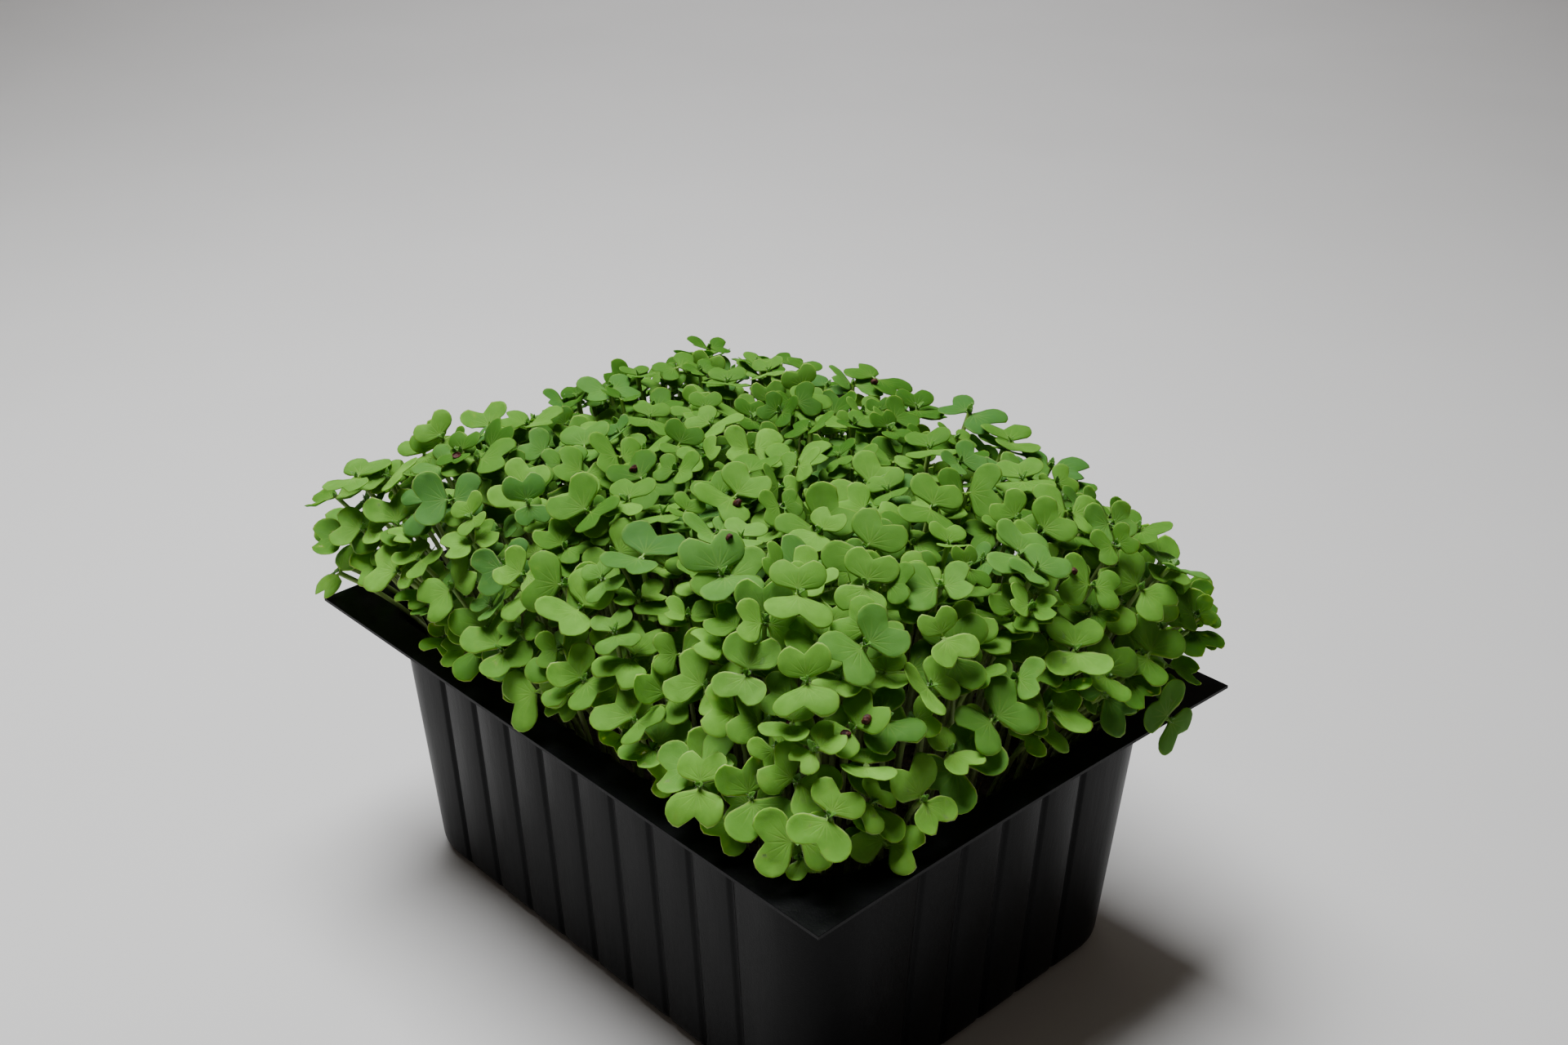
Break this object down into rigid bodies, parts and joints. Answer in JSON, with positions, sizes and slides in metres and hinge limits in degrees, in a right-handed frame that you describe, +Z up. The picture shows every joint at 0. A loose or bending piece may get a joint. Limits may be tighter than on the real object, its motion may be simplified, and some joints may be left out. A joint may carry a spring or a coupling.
{
  "type": "tray of microgreens",
  "caption": "Thickly sown brassica microgreens with paired notched seed leaves, growing in a fluted rectangular plastic punnet with a flat flange round its mouth.",
  "frame": {"origin": "centre of the punnet's base, on the plane it stands on", "axes": "+Z up out of the punnet's mouth, X along its long side, Y along its short side"},
  "size_m": [0.1904, 0.1514, 0.121],
  "materials": {
    "tray_plastic": "satin",
    "growing_medium": "matte",
    "greens": "satin"
  },
  "bodies": {
    "root": {"punnet": "tray_plastic", "growing_medium": "growing_medium", "seedlings_01": "greens", "seedlings_02": "greens", "seedlings_03": "greens", "seedlings_04": "greens", "seedlings_05": "greens", "seedlings_06": "greens", "seedlings_07": "greens", "seedlings_08": "greens", "seedlings_09": "greens", "seedlings_10": "greens", "seedlings_11": "greens", "seedlings_12": "greens", "seedlings_13": "greens", "seedlings_14": "greens", "seedlings_15": "greens", "seedlings_16": "greens", "seedlings_17": "greens", "seedlings_18": "greens", "seedlings_19": "greens", "seedlings_20": "greens", "seedlings_21": "greens", "seedlings_22": "greens", "seedlings_23": "greens", "seedlings_24": "greens", "seedlings_25": "greens", "seedlings_26": "greens", "seedlings_27": "greens", "seedlings_28": "greens", "seedlings_29": "greens", "seedlings_30": "greens", "seedlings_31": "greens", "seedlings_32": "greens", "seedlings_33": "greens", "seedlings_34": "greens", "seedlings_35": "greens", "seedlings_36": "greens", "seedlings_37": "greens", "seedlings_38": "greens", "seedlings_39": "greens", "seedlings_40": "greens", "seedlings_41": "greens", "seedlings_42": "greens", "seedlings_43": "greens", "seedlings_44": "greens", "seedlings_45": "greens", "seedlings_46": "greens", "seedlings_47": "greens", "seedlings_48": "greens", "seedlings_49": "greens", "seedlings_50": "greens", "seedlings_51": "greens", "seedlings_52": "greens", "seedlings_53": "greens", "seedlings_54": "greens"}
  },
  "joints": []
}
